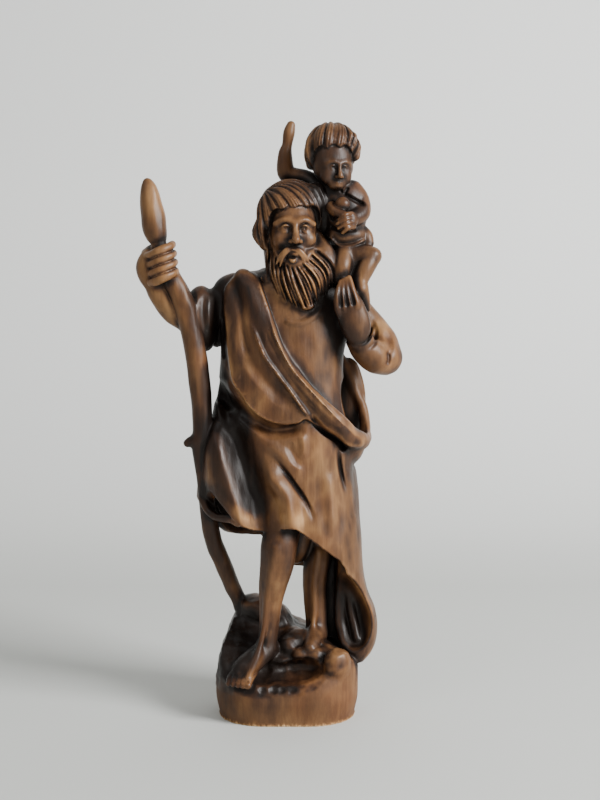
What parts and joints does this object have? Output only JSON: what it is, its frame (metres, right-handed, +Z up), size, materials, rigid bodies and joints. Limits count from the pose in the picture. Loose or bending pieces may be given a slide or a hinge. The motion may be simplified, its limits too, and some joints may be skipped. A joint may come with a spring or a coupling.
{
  "type": "wooden saint statue",
  "caption": "Carved wooden figure of a bearded saint with a staff and a child on the shoulder, one block with its plinth; stands on a shelf or table.",
  "frame": {"origin": "centre of the plinth's flat underside", "axes": "+Z up through the figure, -Y the side the saint faces, +X to the viewer's right, the side of the child"},
  "size_m": [0.1323, 0.06, 0.2996],
  "materials": {
    "stained_wood": "brown stain rubbed through on the high places, satin wax"
  },
  "bodies": {
    "root": {"statue": "stained_wood"}
  },
  "joints": []
}
